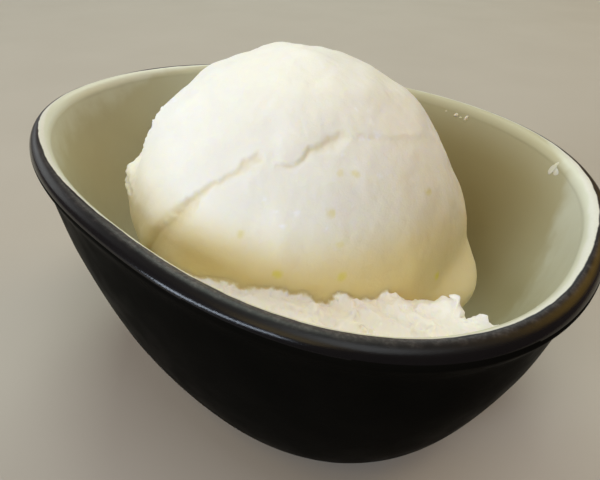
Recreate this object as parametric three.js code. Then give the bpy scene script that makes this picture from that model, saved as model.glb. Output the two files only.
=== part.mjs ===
// A sorbet cup: one scoop of pale citrus sorbet, pressed into a small oval stoneware bowl.
// Millimetres, +Z up. The origin is on the table under the middle of the object's box.
// The bowl's long axis is X, with its narrow end at -X and its wide end at +X.

import * as THREE from 'three';

// ---------------------------------------------------------------- bowl dimensions

const rimHalfLength = 55;
const rimHalfWidth = 42.4;
const rimHeight = 48.75; // mean height of the lip's crest
const rimTilt = 2.6; // the narrow end stands this much above the mean, the wide end below it
const rimSag = 0.63; // both ends lie this much lower, and both sides higher
const eggTaper = 0.166; // share by which the outline widens towards the wide end
const ovalPower = 2.31; // superellipse power of the outline: 2 would be an ellipse
const endWall = 4.0; // thickness of the wall and the lip at the two ends
const sideWall = 3.75;
const floorThickness = 5.5;
const baseHalfLength = 24; // the flat underside
const baseHalfWidth = 18;
const baseShift = -2.9; // its centre, from the rim's centre
const hollowInset = 1.5; // the hollow's floor is this much smaller than the underside all round
const narrowEndBend = 3.4; // powers of the wall's curve: the higher, the tighter it turns up
const wideEndBend = 4.5;
const sideBend = 3.6;
const lipOverhang = 0.5; // the lip stands this far out over the wall under it
const lipDepth = 1.9; // depth below the crest at which the wall starts to draw in under the lip
const neckDepth = 4.8; // depth at which the neck under the lip is deepest
const neckEnd = 17; // depth at which the wall has come out again below the neck

const bowlSegments = 76; // round the oval
const outsideRows = 13;
const lipRows = 7;
const insideRows = 11;
const rowCrowding = 1.6; // above 1, rows lie closer together near the rim

// ---------------------------------------------------------------- sorbet dimensions

const ballRadius = 31.6;
const ballCentre = new THREE.Vector3(3.5, -3, 34.5);
const wallGap = 0.45; // between the sorbet and the bowl's inside

// Angles round the ball are degrees of azimuth (0 is +X, -90 is -Y) and of elevation.
const slump = { azimuth: 6, halfWidth: 42, from: 14, to: -5, end: -15, out: 4.6 };
const undercut = { azimuth: -128, halfWidth: 45, from: 15, to: -4, depth: 3.2 };
const flatSide = { azimuth: 27, halfWidth: 26, elevation: 26, halfHeight: 20, depth: 1.5 };
const frill = { azimuth: -135, halfWidth: 7, elevation: 21, halfHeight: 6, out: 1.6 };

// A crack runs up the front from the bottom left, steps aside at its middle, and fades at the right.
const crackPath = [
  [-104, 8],
  [-97, 21],
  [-89, 31],
  [-76, 41],
  [-71, 45],
  [-60, 44],
  [-53, 47],
  [-44, 50],
  [-30, 51],
  [-18, 49],
  [7, 42],
];
const crackDepths = [1.4, 1.1, 0.6, 0.35, 0.55, 0.1]; // at even steps along the crack
const crackWidths = [3.6, 2.4, 1.3, 1.2, 1.2, 0.9];
const crackSteps = 90; // points that stand for the crack's curve
const crackFade = 6; // the relief has faded out this far past the crack's two ends
const ledgeHeight = 0.45; // the layer above the crack stands this far proud
const ledgeFade = 7; // and has come back to the ball this far above the crack

// A crumbly collar fills the gap between the ball's front and the bowl's near wall.
const collar = {
  from: -118, // azimuths of its two ends
  to: -14,
  leftSlope: 24, // degrees over which each end comes down
  rightSlope: 8,
  lowest: -12, // elevation of the crest where it ends
  elevations: [5, 7.5, 9.7, 10.6, 12.3, 11.3, 8.6, 6.6, 9.4, 8.5], // the crest, from end to end
  outs: [2, 2, 2.2, 2.5, 2.8, 3, 3.2, 4.5, 10, 12], // how far the crest lies outside the ball
  outwardFall: 0.12, // slope of its top down to the wall
  ragged: 0.9, // height of the crags on its top
  raggedCrest: 1.3, // and of those along its crest, in degrees of elevation
};

const frontStep = 2.4; // degrees between columns where the relief is, and elsewhere
const backStep = 6.4;
const front = { from: -120, to: -8 };
const rowsBelowCrest = 17;
const rowsAboveCrest = 23;
const lowestRow = -84; // elevations of the first and the last row
const highestRow = 86;
const crestStep = 0.6; // between the crest's row and the ball's first row over it
const crowdingBelow = 1.35; // above 1, rows lie closer together at the crest
const crowdingAbove = 1.12;
const wallReach = 30; // elevation up to which the bowl's wall can stand in the sorbet's way
const grainSize = 4.2; // size of the ball's uneven patches
const grainHeight = 0.35;
const cragSize = 2.6; // size of the collar's crags

const glazeBlack = new THREE.MeshStandardMaterial({ color: 0x14120f, roughness: 0.35, metalness: 0 });
const sorbetWhite = new THREE.MeshStandardMaterial({ color: 0xf2efdc, roughness: 0.55, metalness: 0 });

// ---------------------------------------------------------------- small helpers

const { lerp, clamp, smoothstep, degToRad } = THREE.MathUtils;

function signedPower(value, power) {
  return Math.sign(value) * Math.abs(value) ** power;
}

// 1 at the centre, 0 from halfWidth on, smooth between.
function bump(value, centre, halfWidth) {
  return 1 - smoothstep(Math.abs(value - centre), 0, halfWidth);
}

// 0 before from, 1 after to; from may be the larger.
function ramp(value, from, to) {
  return smoothstep((value - from) / (to - from), 0, 1);
}

// The value at share (0 to 1) of the way through an evenly spaced list.
function along(list, share) {
  const place = clamp(share, 0, 1) * (list.length - 1);
  const before = Math.min(Math.floor(place), list.length - 2);
  return lerp(list[before], list[before + 1], place - before);
}

// A fixed pseudo-random number from -1 to 1 for each whole-numbered lattice point.
function latticeValue(x, y, z) {
  const wave = Math.sin(x * 127.1 + y * 311.7 + z * 74.7) * 43758.5453;
  return (wave - Math.floor(wave)) * 2 - 1;
}

// Smooth noise from -1 to 1 with lumps of about the given size.
function noise(point, size) {
  const cell = point.clone().divideScalar(size).floor();
  const part = point.clone().divideScalar(size).sub(cell);
  const blend = part.toArray().map((t) => t * t * (3 - 2 * t));
  let sum = 0;
  for (let corner = 0; corner < 8; corner += 1) {
    const step = [corner & 1, (corner >> 1) & 1, corner >> 2];
    const weight = step.reduce((w, s, axis) => w * (s ? blend[axis] : 1 - blend[axis]), 1);
    sum += weight * latticeValue(cell.x + step[0], cell.y + step[1], cell.z + step[2]);
  }
  return sum;
}

// A closed mesh from rings of points: each ring joins the next, and the first and the last
// ring are each closed by a fan round their own centre point.
function closedSkin(rings, firstCentre, lastCentre) {
  const columns = rings[0].length;
  const points = [...rings.flat(), firstCentre, lastCentre];
  const first = points.length - 2;
  const last = points.length - 1;
  const lastRing = (rings.length - 1) * columns;
  const faces = [];
  for (let column = 0; column < columns; column += 1) {
    const next = (column + 1) % columns;
    faces.push(first, next, column);
    faces.push(last, lastRing + column, lastRing + next);
    for (let row = 0; row + 1 < rings.length; row += 1) {
      const here = row * columns;
      const above = here + columns;
      faces.push(here + column, here + next, above + next);
      faces.push(here + column, above + next, above + column);
    }
  }
  const coordinates = points.flatMap((p) => p.toArray());
  const geometry = new THREE.BufferGeometry();
  geometry.setAttribute('position', new THREE.Float32BufferAttribute(coordinates, 3));
  geometry.setIndex(faces);
  geometry.computeVertexNormals();
  return geometry;
}

// ---------------------------------------------------------------- bowl

const outside = {
  floor: 0,
  baseLength: baseHalfLength,
  baseWidth: baseHalfWidth,
  length: rimHalfLength,
  width: rimHalfWidth,
};
const inside = {
  floor: floorThickness,
  baseLength: baseHalfLength - hollowInset,
  baseWidth: baseHalfWidth - hollowInset,
  length: rimHalfLength - endWall,
  width: rimHalfWidth - sideWall,
};

function wallThickness(lengthwise) {
  return lerp(sideWall, endWall, lengthwise ** 2);
}

// Height of the lip's crest; lengthwise is -1 at the narrow end and 1 at the wide end.
function crestHeight(lengthwise) {
  return rimHeight - rimTilt * lengthwise - rimSag * (2 * lengthwise ** 2 - 1);
}

// Where the walls end and the half-round lip begins.
function wallTop(lengthwise) {
  return crestHeight(lengthwise) - wallThickness(lengthwise) / 2;
}

// The outline's half-length, half-width and centre at a level: 0 is the shell's floor, 1 its top.
function outline(shell, level, lengthwise) {
  const endBend = lengthwise < 0 ? narrowEndBend : wideEndBend;
  return {
    length: lerp(shell.baseLength, shell.length, level ** (1 / endBend)),
    width: lerp(shell.baseWidth, shell.width, level ** (1 / sideBend)),
    shift: baseShift * (1 - Math.sqrt(level)),
  };
}

function shellPoint(shell, angle, level) {
  const lengthwise = signedPower(Math.cos(angle), 2 / ovalPower);
  const sideways = signedPower(Math.sin(angle), 2 / ovalPower);
  const size = outline(shell, level, lengthwise);
  return new THREE.Vector3(
    size.shift + size.length * lengthwise,
    size.width * sideways * (1 + eggTaper * lengthwise),
    lerp(shell.floor, wallTop(lengthwise), level),
  );
}

// How far the wall is drawn in at a height below the lip's crest, to leave the lip standing out.
function neckInset(depth) {
  return lipOverhang * ramp(depth, lipDepth, neckDepth) * ramp(depth, neckEnd, neckDepth);
}

function outsidePoint(angle, level) {
  const point = shellPoint(outside, angle, level);
  const lengthwise = signedPower(Math.cos(angle), 2 / ovalPower);
  const inward = neckInset(crestHeight(lengthwise) - point.z) / rimHalfWidth;
  point.x *= 1 - inward;
  point.y *= 1 - inward;
  return point;
}

// The half-round lip, from the outside wall's top (share 0) over the crest to the inside's (1).
function lipPoint(angle, share) {
  const outer = shellPoint(outside, angle, 1);
  const inner = shellPoint(inside, angle, 1);
  const turn = share * Math.PI;
  const point = outer.lerp(inner, (1 - Math.cos(turn)) / 2);
  const lengthwise = signedPower(Math.cos(angle), 2 / ovalPower);
  point.z += (wallThickness(lengthwise) / 2) * Math.sin(turn);
  return point;
}

function ring(pointAt) {
  const points = [];
  for (let step = 0; step < bowlSegments; step += 1) {
    points.push(pointAt((step / bowlSegments) * 2 * Math.PI));
  }
  return points;
}

// Levels from a shell's floor to its top, crowded towards the top.
function levels(rows) {
  const list = [];
  for (let row = 0; row <= rows; row += 1) {
    const share = 1 - (1 - row / rows) ** rowCrowding;
    list.push(share ** sideBend);
  }
  return list;
}

function makeBowl() {
  const rings = levels(outsideRows).map((level) => ring((angle) => outsidePoint(angle, level)));
  for (let row = 1; row < lipRows; row += 1) {
    rings.push(ring((angle) => lipPoint(angle, row / lipRows)));
  }
  for (const level of levels(insideRows).reverse()) {
    rings.push(ring((angle) => shellPoint(inside, angle, level)));
  }
  const underside = new THREE.Vector3(baseShift, 0, 0);
  const floorMiddle = new THREE.Vector3(baseShift, 0, floorThickness);
  return closedSkin(rings, underside, floorMiddle);
}

// ---------------------------------------------------------------- sorbet

// True where a point lies in the bowl's hollow, clear of its floor and walls by wallGap.
function inHollow(point) {
  const height = point.z - wallGap;
  if (height <= inside.floor) {
    return false;
  }
  let lengthwise = clamp(point.x / inside.length, -1, 1);
  let size;
  for (let pass = 0; pass < 3; pass += 1) {
    const level = clamp((height - inside.floor) / (wallTop(lengthwise) - inside.floor), 0, 1);
    size = outline(inside, level, lengthwise);
    lengthwise = clamp((point.x - size.shift) / (size.length - wallGap), -1, 1);
  }
  const acrossPart = point.y / ((size.width - wallGap) * (1 + eggTaper * lengthwise));
  const alongPart = (point.x - size.shift) / (size.length - wallGap);
  return Math.abs(alongPart) ** ovalPower + Math.abs(acrossPart) ** ovalPower < 1;
}

function direction(azimuth, elevation) {
  const level = Math.cos(degToRad(elevation));
  return new THREE.Vector3(
    level * Math.cos(degToRad(azimuth)),
    level * Math.sin(degToRad(azimuth)),
    Math.sin(degToRad(elevation)),
  );
}

// Distance from the ball's centre to the bowl's inside, less the gap, by halving the stretch.
function wallDistance(heading) {
  let near = 0;
  let far = 2 * rimHalfLength;
  while (far - near > 0.005) {
    const middle = (near + far) / 2;
    const point = ballCentre.clone().addScaledVector(heading, middle);
    if (inHollow(point)) {
      near = middle;
    } else {
      far = middle;
    }
  }
  return near;
}

const crackCurve = new THREE.CatmullRomCurve3(crackPath.map(([a, e]) => direction(a, e)));
const crackPoints = crackCurve.getPoints(crackSteps).map((p) => p.normalize());

// Relief of the crack: a groove on its lower side, and a proud ledge on its upper side.
function crackRelief(heading) {
  const distances = crackPoints.map((p) => p.distanceTo(heading));
  const nearest = distances.indexOf(Math.min(...distances));
  const before = crackPoints[Math.max(nearest - 1, 0)];
  const after = crackPoints[Math.min(nearest + 1, crackSteps)];
  const upward = crackPoints[nearest].clone().cross(after.clone().sub(before)).normalize();
  const gap = heading.clone().sub(crackPoints[nearest]);
  const across = gap.dot(upward) * ballRadius;
  const beyond = Math.sqrt(Math.max(gap.lengthSq() * ballRadius ** 2 - across ** 2, 0));
  const share = nearest / crackSteps;
  const width = along(crackWidths, share);
  const groove = Math.exp(-(((across + width * 0.4) / (width * 0.6)) ** 2));
  const ledge = across > 0 ? ledgeHeight * (1 - share) * bump(across, 0, ledgeFade) : 0;
  return bump(beyond, 0, crackFade) * (ledge - along(crackDepths, share) * groove);
}

function ballDistance(azimuth, elevation) {
  const heading = direction(azimuth, elevation);
  const onBall = heading.clone().multiplyScalar(ballRadius);
  const slumped = ramp(elevation, slump.from, slump.to) * (1 - ramp(elevation, slump.to - 1, slump.end));
  let distance = ballRadius + grainHeight * noise(onBall, grainSize);
  distance += slump.out * bump(azimuth, slump.azimuth, slump.halfWidth) * slumped;
  distance -= undercut.depth * bump(azimuth, undercut.azimuth, undercut.halfWidth)
    * ramp(elevation, undercut.from, undercut.to);
  distance -= flatSide.depth * bump(azimuth, flatSide.azimuth, flatSide.halfWidth)
    * bump(elevation, flatSide.elevation, flatSide.halfHeight);
  distance += frill.out * bump(azimuth, frill.azimuth, frill.halfWidth)
    * bump(elevation, frill.elevation, frill.halfHeight);
  return distance + crackRelief(heading);
}

// How much of the collar there is at an azimuth: 1 along its length, 0 past its ends.
function collarShare(azimuth) {
  return ramp(azimuth, collar.from, collar.from + collar.leftSlope)
    * ramp(azimuth, collar.to, collar.to - collar.rightSlope);
}

// The crest's elevation, and its distance from the ball's upright axis.
function collarCrest(azimuth) {
  const share = (azimuth - collar.from) / (collar.to - collar.from);
  const crags = noise(direction(azimuth, 0).multiplyScalar(ballRadius), cragSize);
  const elevation = along(collar.elevations, share) + collar.raggedCrest * crags;
  return {
    elevation: lerp(collar.lowest, elevation, collarShare(azimuth)),
    out: ballRadius + along(collar.outs, share),
  };
}

// Distance to the collar's top, which slopes from the crest down to the wall.
function collarDistance(elevation, crest) {
  const steepness = Math.tan(degToRad(elevation)) + collar.outwardFall;
  if (steepness <= 0) {
    return Infinity;
  }
  const crestSteepness = Math.tan(degToRad(crest.elevation)) + collar.outwardFall;
  return (crest.out * crestSteepness) / steepness / Math.cos(degToRad(elevation));
}

function sorbetPoint(azimuth, elevation, crest) {
  const heading = direction(azimuth, elevation);
  let distance = ballDistance(azimuth, elevation);
  if (crest && elevation <= crest.elevation) {
    const crags = collar.ragged * noise(heading.clone().multiplyScalar(crest.out), cragSize);
    distance = Math.max(distance, collarDistance(elevation, crest) + crags);
  }
  if (elevation < wallReach) {
    distance = Math.min(distance, wallDistance(heading));
  }
  return ballCentre.clone().addScaledVector(heading, distance);
}

function sorbetColumns() {
  const columns = [];
  let azimuth = -180;
  while (azimuth < 180 - backStep / 2) {
    columns.push(azimuth);
    azimuth += azimuth >= front.from && azimuth < front.to ? frontStep : backStep;
  }
  return columns;
}

// A row's elevation: rows below the crest reach up to it, and the rest go on to the top.
function rowElevation(row, crest) {
  if (row <= rowsBelowCrest) {
    const share = 1 - (1 - row / rowsBelowCrest) ** crowdingBelow;
    return lerp(lowestRow, crest, share);
  }
  const share = (row - rowsBelowCrest - 1) / (rowsAboveCrest - 1);
  return lerp(crest + crestStep, highestRow, share ** crowdingAbove);
}

function makeSorbet() {
  const columns = sorbetColumns();
  const rings = [];
  for (let row = 0; row <= rowsBelowCrest + rowsAboveCrest; row += 1) {
    rings.push(columns.map((azimuth) => {
      const crest = collarShare(azimuth) > 0 ? collarCrest(azimuth) : null;
      const seam = crest ? crest.elevation : collar.lowest;
      return sorbetPoint(azimuth, rowElevation(row, seam), crest);
    }));
  }
  return closedSkin(rings, sorbetPoint(0, -90, null), sorbetPoint(0, 90, null));
}

// ---------------------------------------------------------------- the object

const sorbetCup = new THREE.Group();

const bowl = new THREE.Mesh(makeBowl(), glazeBlack);
bowl.name = 'bowl';
sorbetCup.add(bowl);

const sorbet = new THREE.Mesh(makeSorbet(), sorbetWhite);
sorbet.name = 'sorbet_scoop';
sorbetCup.add(sorbet);

export default sorbetCup;
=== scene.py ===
"""Looks of one scoop of pale citrus sorbet in a small egg-shaped stoneware bowl.

Shapes are worked out in millimetres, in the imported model's frame, and become metres in
make_object: +X is the bowl's wide end, -Y its near side, +Z up.
"""

import math

import bpy
import numpy as np
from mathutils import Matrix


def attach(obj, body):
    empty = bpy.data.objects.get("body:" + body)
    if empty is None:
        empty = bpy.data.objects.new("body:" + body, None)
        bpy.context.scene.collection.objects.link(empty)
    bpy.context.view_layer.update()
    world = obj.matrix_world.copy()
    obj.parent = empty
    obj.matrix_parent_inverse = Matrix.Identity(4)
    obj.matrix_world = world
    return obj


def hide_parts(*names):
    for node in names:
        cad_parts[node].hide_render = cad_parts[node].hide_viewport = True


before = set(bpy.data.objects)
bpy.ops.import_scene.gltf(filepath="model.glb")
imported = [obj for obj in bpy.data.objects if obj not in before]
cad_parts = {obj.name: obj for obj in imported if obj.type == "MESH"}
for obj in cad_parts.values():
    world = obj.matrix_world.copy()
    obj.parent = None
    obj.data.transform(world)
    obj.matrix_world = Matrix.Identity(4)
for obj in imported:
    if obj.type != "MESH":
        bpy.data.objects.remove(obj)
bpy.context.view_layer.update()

import openvdb
from mathutils import Matrix, Vector

MM = 0.001

# -------------------------------- camera

CAMERA_AZIMUTH = 0.585  # radians; 0 would look along +Y
CAMERA_ELEVATION = 0.606
CAMERA_ROLL = 0.02
CAMERA_LOCATION = Vector((0.04881, -0.07040, 0.08480))
CAMERA_CLIP_START = 0.005  # metres
FRAME_WIDTH = 600  # pixels
FOCAL_LENGTH = 480.5  # pixels
SENSOR_WIDTH = 36.0


def make_camera():
    level = math.cos(CAMERA_ELEVATION)
    back = Vector((
        math.sin(CAMERA_AZIMUTH) * level,
        -math.cos(CAMERA_AZIMUTH) * level,
        math.sin(CAMERA_ELEVATION),
    ))
    flat_right = Vector((math.cos(CAMERA_AZIMUTH), math.sin(CAMERA_AZIMUTH), 0))
    flat_up = back.cross(flat_right)
    right = flat_right * math.cos(CAMERA_ROLL) + flat_up * math.sin(CAMERA_ROLL)
    up = flat_up * math.cos(CAMERA_ROLL) - flat_right * math.sin(CAMERA_ROLL)
    data = bpy.data.cameras.new("camera")
    data.sensor_fit = "HORIZONTAL"
    data.sensor_width = SENSOR_WIDTH
    data.lens = FOCAL_LENGTH * SENSOR_WIDTH / FRAME_WIDTH
    data.clip_start = CAMERA_CLIP_START
    camera = bpy.data.objects.new("camera", data)
    turn = Matrix((right, up, back)).transposed().to_4x4()
    camera.matrix_world = Matrix.Translation(CAMERA_LOCATION) @ turn
    bpy.context.scene.collection.objects.link(camera)
    bpy.context.scene.camera = camera


make_camera()

# -------------------------------- bowl dimensions, in mm

RIM_HALF_LENGTH = 55
RIM_HALF_WIDTH = 42.38
RIM_HEIGHT = 48.75  # mean height of the lip's crest
RIM_TILT = 2.6
RIM_SAG = 0.63
EGG_TAPER = 0.166
OVAL_POWER = 2.31
END_WALL = 4.0
SIDE_WALL = 3.75
FLOOR_THICKNESS = 5.5
BASE_HALF_LENGTH = 24
BASE_HALF_WIDTH = 18
BASE_SHIFT = -2.9
HOLLOW_INSET = 1.5
NARROW_END_BEND = 3.4
WIDE_END_BEND = 4.5
SIDE_BEND = 3.6
LIP_OVERHANG = 0.5
LIP_DEPTH = 1.9
NECK_DEPTH = 4.8
NECK_END = 17

# Each layer of noise, here and below, has a height, a lump size and a seed.
GLAZE_WAVE = 0.07  # the glaze's unevenness outside
GLAZE_WAVE_LAYERS = [(1.0, 17, 1), (0.5, 7, 2)]
WAVE_BELOW_LIP = (3, 9)  # it grows over this way down from the lip's crest
WAVE_ABOVE_FOOT = (0.5, 5)

# Round the bowl, by the angle in degrees: where the inner glaze starts, past the lip's crest,
# and how wide its pale edge and the light stretch after it are. The light stretch is lighter sage,
# partly the glaze's own tone near the rim and partly painted light where the wall is lit.
GLAZE_EDGE = [
    (-180, -0.45, 0.4, 9), (-165, -0.45, 0.4, 10), (-150, -0.5, 0.6, 11), (-140, -0.45, 1.0, 11),
    (-130, 0.0, 1.2, 10), (-119, 0.3, 1.1, 8), (-110, 0.5, 0.9, 7), (-100, 0.75, 0.6, 5),
    (-90, 1.0, 0.3, 5), (-35, 0.85, 0.3, 70), (-8, 0.45, 1.1, 70), (12, 0.0, 1.7, 28),
    (30, -0.4, 1.1, 4), (45, -0.6, 0.4, 1), (85, -0.6, 0.3, 0.8), (125, -0.6, 0.3, 0.8),
    (145, 0.2, 0.3, 1), (165, 0.2, 0.4, 3), (180, -0.45, 0.4, 9),
]
# Painted shade: the inner glaze is darker round an angle, where the scoop shades the wall;
# start and full are ways in from its edge.
SCOOP_SHADE = {"angle": 54, "half_width": 56, "start": -1, "full": 12}
DARK_EDGE = 0.25  # the inner glaze's dark first stretch
LIP_END = -2.5  # the lip's glaze ends this far down the outside

BOWL_SEGMENTS = 320
OUTSIDE_ROWS = 84
LIP_ROWS = 44
INSIDE_ROWS = 76
ROW_CROWDING = 1.6

# -------------------------------- sorbet dimensions, in mm

BALL_RADIUS = 31.6
BALL_CENTRE = np.array([3.5, -3, 34.5])
WALL_GAP = 0.12  # between the sorbet and the bowl's wall
BALL_WAVES = [(0.28, 8, 21), (0.16, 3.6, 22)]
BALL_GRAIN = (0.05, 1.1, 23)

# Angles round the ball are degrees of azimuth (0 is +X, -90 is -Y) and of elevation.
SLUMP = {"azimuth": 3, "half_width": 34, "start": 9, "peak": -6, "end": -15, "out": 4.1}
UNDERCUT = {"azimuth": -128, "half_width": 45, "start": 15, "end": -4, "depth": 3.2}
# Broad swells of the ball, and flats where out is below 0.
SWELLS = [
    {"azimuth": 50, "half_width": 75, "elevation": 55, "half_height": 50, "out": -1.05},
    {"azimuth": 27, "half_width": 30, "elevation": 29, "half_height": 22, "out": -1.15},
    {"azimuth": -177, "half_width": 16, "elevation": 67, "half_height": 8, "out": -0.9},
    {"azimuth": 108, "half_width": 40, "elevation": 77, "half_height": 9, "out": -0.9},
    {"azimuth": 155, "half_width": 30, "elevation": 76, "half_height": 8, "out": 0.4},
    {"azimuth": -160, "half_width": 18, "elevation": 58, "half_height": 9, "out": 0.55},
    {"azimuth": -147, "half_width": 16, "elevation": 40, "half_height": 9, "out": 0.35},
    {"azimuth": -139, "half_width": 10, "elevation": 27, "half_height": 5, "out": -1.2},
]
# The frayed edge at the left: elevation and height of its teeth, and how they wander in degrees.
FRILL = {
    "azimuth": -136,
    "half_width": 13,
    "teeth": [
        (8, 0), (13, -0.6), (14.6, 0.2), (16, 0.6), (17, 1.1), (17.9, 1.3), (18.6, 0.8),
        (19.3, -0.5), (20.0, 0.5), (20.8, 1.5), (22.0, 1.1), (23.4, 0.9), (24.2, 0.1), (26, 0),
    ],
    "wander_up": (0.35, 1.0, 24),
    "wander_round": (2, 1.4, 25),
}
FRAY = {"azimuth": -143, "half_width": 17, "elevation": 33, "half_height": 32, "out": 0.75}
FRAY_SPIKES = {"size": 1.5, "seed": 26, "steepness": 3.5}
FRAY_GAPS = {"size": 0.9, "seed": 27}

# Points along each crack: azimuth, elevation, depth and width. The layer above a crack
# stands proud of the one below by the ledge.
CRACKS = [
    {
        "ledge": 0.5,
        "ragged": 1.0,
        "points": [
            (-107, 3, 0.55, 4.6), (-102.6, 11.8, 0.55, 4.4), (-98, 19.5, 0.55, 3.6),
            (-93, 25.8, 0.5, 2.8), (-89, 31.3, 0.45, 1.5), (-84.5, 35.7, 0.35, 0.8),
            (-80, 38.5, 0.3, 0.7), (-76, 41, 0.3, 1.1), (-73.5, 43, 0.35, 1.7),
            (-71, 45.2, 0.3, 1.4), (-69, 46.8, 0, 0.6),
        ],
    },
    {
        "ledge": 0.28,
        "ragged": 0.45,
        "points": [
            (-61.5, 43.6, 0.1, 0.4), (-59, 43.7, 0.2, 0.7), (-56, 44.4, 0.15, 0.6),
            (-53.5, 46.6, 0.25, 0.8), (-52, 48, 0.25, 0.9), (-47, 48.7, 0.25, 1.2),
            (-45, 49.9, 0.3, 1.7), (-41.5, 50.8, 0.32, 1.9), (-37, 51.8, 0.2, 1.2),
            (-34, 52.2, 0, 0.7),
        ],
    },
    {
        "ledge": 0.12,
        "ragged": 0.5,
        "points": [
            (-35, 50.5, 0, 1.5), (-25, 49, 0.05, 1.5), (-12, 46.5, 0.08, 1.8),
            (4, 43, 0.08, 1.8), (14, 39.5, 0, 1.5),
        ],
    },
]
CRACK_STEPS = 140
CRACK_MARGIN = {"azimuth": 25, "elevation": 20}  # a crack's relief reaches less far than this
CRACK_WANDER = (0.25, 2.9, 11)
CRACK_NOTCHES = (1.1, 1.3, 12)
NOTCH_LEVEL = 0.25
WIDE_CRACK_WANDER = 1.6  # over the width, so that a wide crack wanders less
CRACK_ABOVE = {"side": 0.45, "power": 4}  # the groove's side as a share of the crack's width,
CRACK_BELOW = {"side": 0.6, "power": 2}  # and how steep it is
CRACK_END_FADE = 1.5
FULL_CRACK = 0.5  # a crack of this depth has its full painted shade
LEDGE_START = 0.3  # share of the crack's width
LEDGE_FADE = 7

BALL_COLUMNS = 400
BALL_ROWS = 176
BALL_SEAM = 125  # azimuth at the back where the grid closes
# The grid is denser between two angles, by the share that follows.
DENSE_AZIMUTHS = [(-152, -18, 1.8), (-18, 40, 0.8)]
DENSE_ELEVATIONS = [(-14, 76, 0.9), (0, 55, 0.8)]
DENSE_FADE = 6
DENSE_STEPS = 4000
WALL_BELOW = 30  # no sorbet above this elevation comes near the bowl
SURELY_INSIDE = 5.0
HALVINGS = 16

# Flecks of zest: azimuth, elevation, radius and strength. Painted glints of ice, whiter spots:
# azimuth, elevation and radius.
ZEST = [
    (-42.2, 41.6, 0.7, 0.3), (-36.8, 40.9, 0.7, 0.4), (-11.5, 30.9, 0.8, 0.6),
    (-46.6, 32.3, 0.9, 0.4), (-72, 25.9, 0.9, 0.45), (-61.2, 16.9, 0.9, 0.75),
    (-44, 16, 1.0, 0.6), (-12.4, 6.4, 1.0, 0.9), (-44.3, 24.1, 0.8, 0.3),
]
GLINTS = [
    (-20.9, 56.9, 0.45), (-26.8, 58.2, 0.4), (-22.7, 53.6, 0.4), (-23, 50, 0.8),
    (-30.5, 49.8, 0.5), (-40.2, 46.4, 0.4), (-28.9, 39.1, 0.5), (-62.2, 32.3, 0.4),
    (-56.5, 32, 0.5), (-60.1, 28.8, 0.5), (-48.2, 28.4, 0.35), (-66, 35.5, 0.4),
]
ZEST_WANDER = (0.35, 0.7, 61)
GLINT_WANDER = (0.3, 0.5, 62)
SPOT_CORE = 0.3  # share of a spot's radius that has its full colour

# Painted warm shade, darker and yellower, on the lower front. Its edge has these elevations,
# evenly spaced between two azimuths, and it fades out over so many degrees beyond each. Each
# layer has a share, and the degrees below the edge where it starts and where it is full.
WARM_SHADE = {
    "azimuths": (-115, 10),
    "elevations": [31, 26.5, 27, 26, 25, 25, 25, 20],
    "fades": (45, 50),
    "layers": [(0.7, -7, 7), (0.3, 0, 14)],
    "wander": (3, 9, 63),
}
# To the left the painted shade is softer and weaker. To the right a faint painted warm shade
# reaches higher, and all of it is weaker.
WARM_SHADE_LEFT = {"azimuths": (-85, -112), "softer": 1.5, "weaker": 0.3}
WARM_SHADE_TINT = {"azimuths": (-45, -20), "layer": (0.2, -20, -5)}
WARM_SHADE_RIGHT = {"azimuths": (-25, 5), "weaker": 0.2}

# The collar fills the gap between the ball's front and the bowl. It starts at an azimuth and
# stops at another, sooner by end_turn for each mm out from the ball.
COLLAR = {
    "start": -114,
    "end": -16.6,
    "end_turn": 0.2,
    "left_slope": 22,
    "right_slope": 3,
    "lowest": -13,
}
END_BITE = {"out": 9.2, "half_width": 2.6, "turn": 2.6}  # a hollow in its right end
# Its top, by azimuth: height above the ball's centre where it meets the ball, height of its
# crest, how far out the crest lies, and the rise for each mm beyond.
COLLAR_TOP = [
    (-118, 2.8, 3.0, 1.5, 0), (-107, 3.9, 4.1, 1.5, 0), (-97, 5.0, 5.2, 1.5, 0),
    (-86, 5.9, 6.1, 1.5, 0), (-80, 6.2, 6.4, 1.5, 0), (-74.6, 6.6, 6.8, 1.5, 0),
    (-70, 6.4, 6.6, 1.5, 0), (-64, 6.5, 6.7, 1.5, 0), (-57.7, 6.2, 6.4, 1.5, 0),
    (-52.7, 6.2, 6.4, 1.6, 0.02), (-48, 5.2, 5.4, 1.6, 0.04), (-46, 5.5, 5.7, 1.7, 0.05),
    (-43.8, 6.0, 6.2, 1.8, 0.05), (-41.5, 5.1, 5.3, 1.8, 0.07), (-37, 4.8, 5.1, 1.9, 0.08),
    (-34.5, 4.1, 4.4, 2.0, 0.1), (-32.5, 4.4, 5.2, 2.0, 0.12), (-30, 4.4, 4.9, 2.4, 0.16),
    (-28, 3.2, 4.0, 3.0, 0.2), (-26, 2.0, 4.6, 3.3, 0.2), (-24, 1.3, 5.0, 4.5, 0.2),
    (-22, 0.6, 5.9, 5.8, 0.25), (-21, 0.2, 6.3, 6.5, 0.25), (-15, -2.0, 6.3, 6.5, 0.25),
]
COLLAR_WANDER = [(1.0, 3.5, 47), (1.0, 1.6, 46), (1.1, 0.9, 48)]  # of its top, in degrees
COLLAR_LUMPS = [(0.7, 3.6, 44), (0.45, 1.7, 45)]
LUMP_STEEPNESS = 2.6
LUMP_LEVEL = 0.3
LUMP_FADE = 2.2  # the lumps are on the crest and fade outwards
LUMP_START = (-84, -62)  # azimuths over which they begin
COLLAR_CRAGS = [(1.3, 3.4, 41), (0.5, 1.5, 42)]
CRAG_LEVEL = 0.3
CRAG_HEIGHT = {"left": 0.4, "more": 0.5, "azimuths": (-60, -38)}
COLLAR_GRAIN = (0.26, 0.8, 43)
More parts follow.
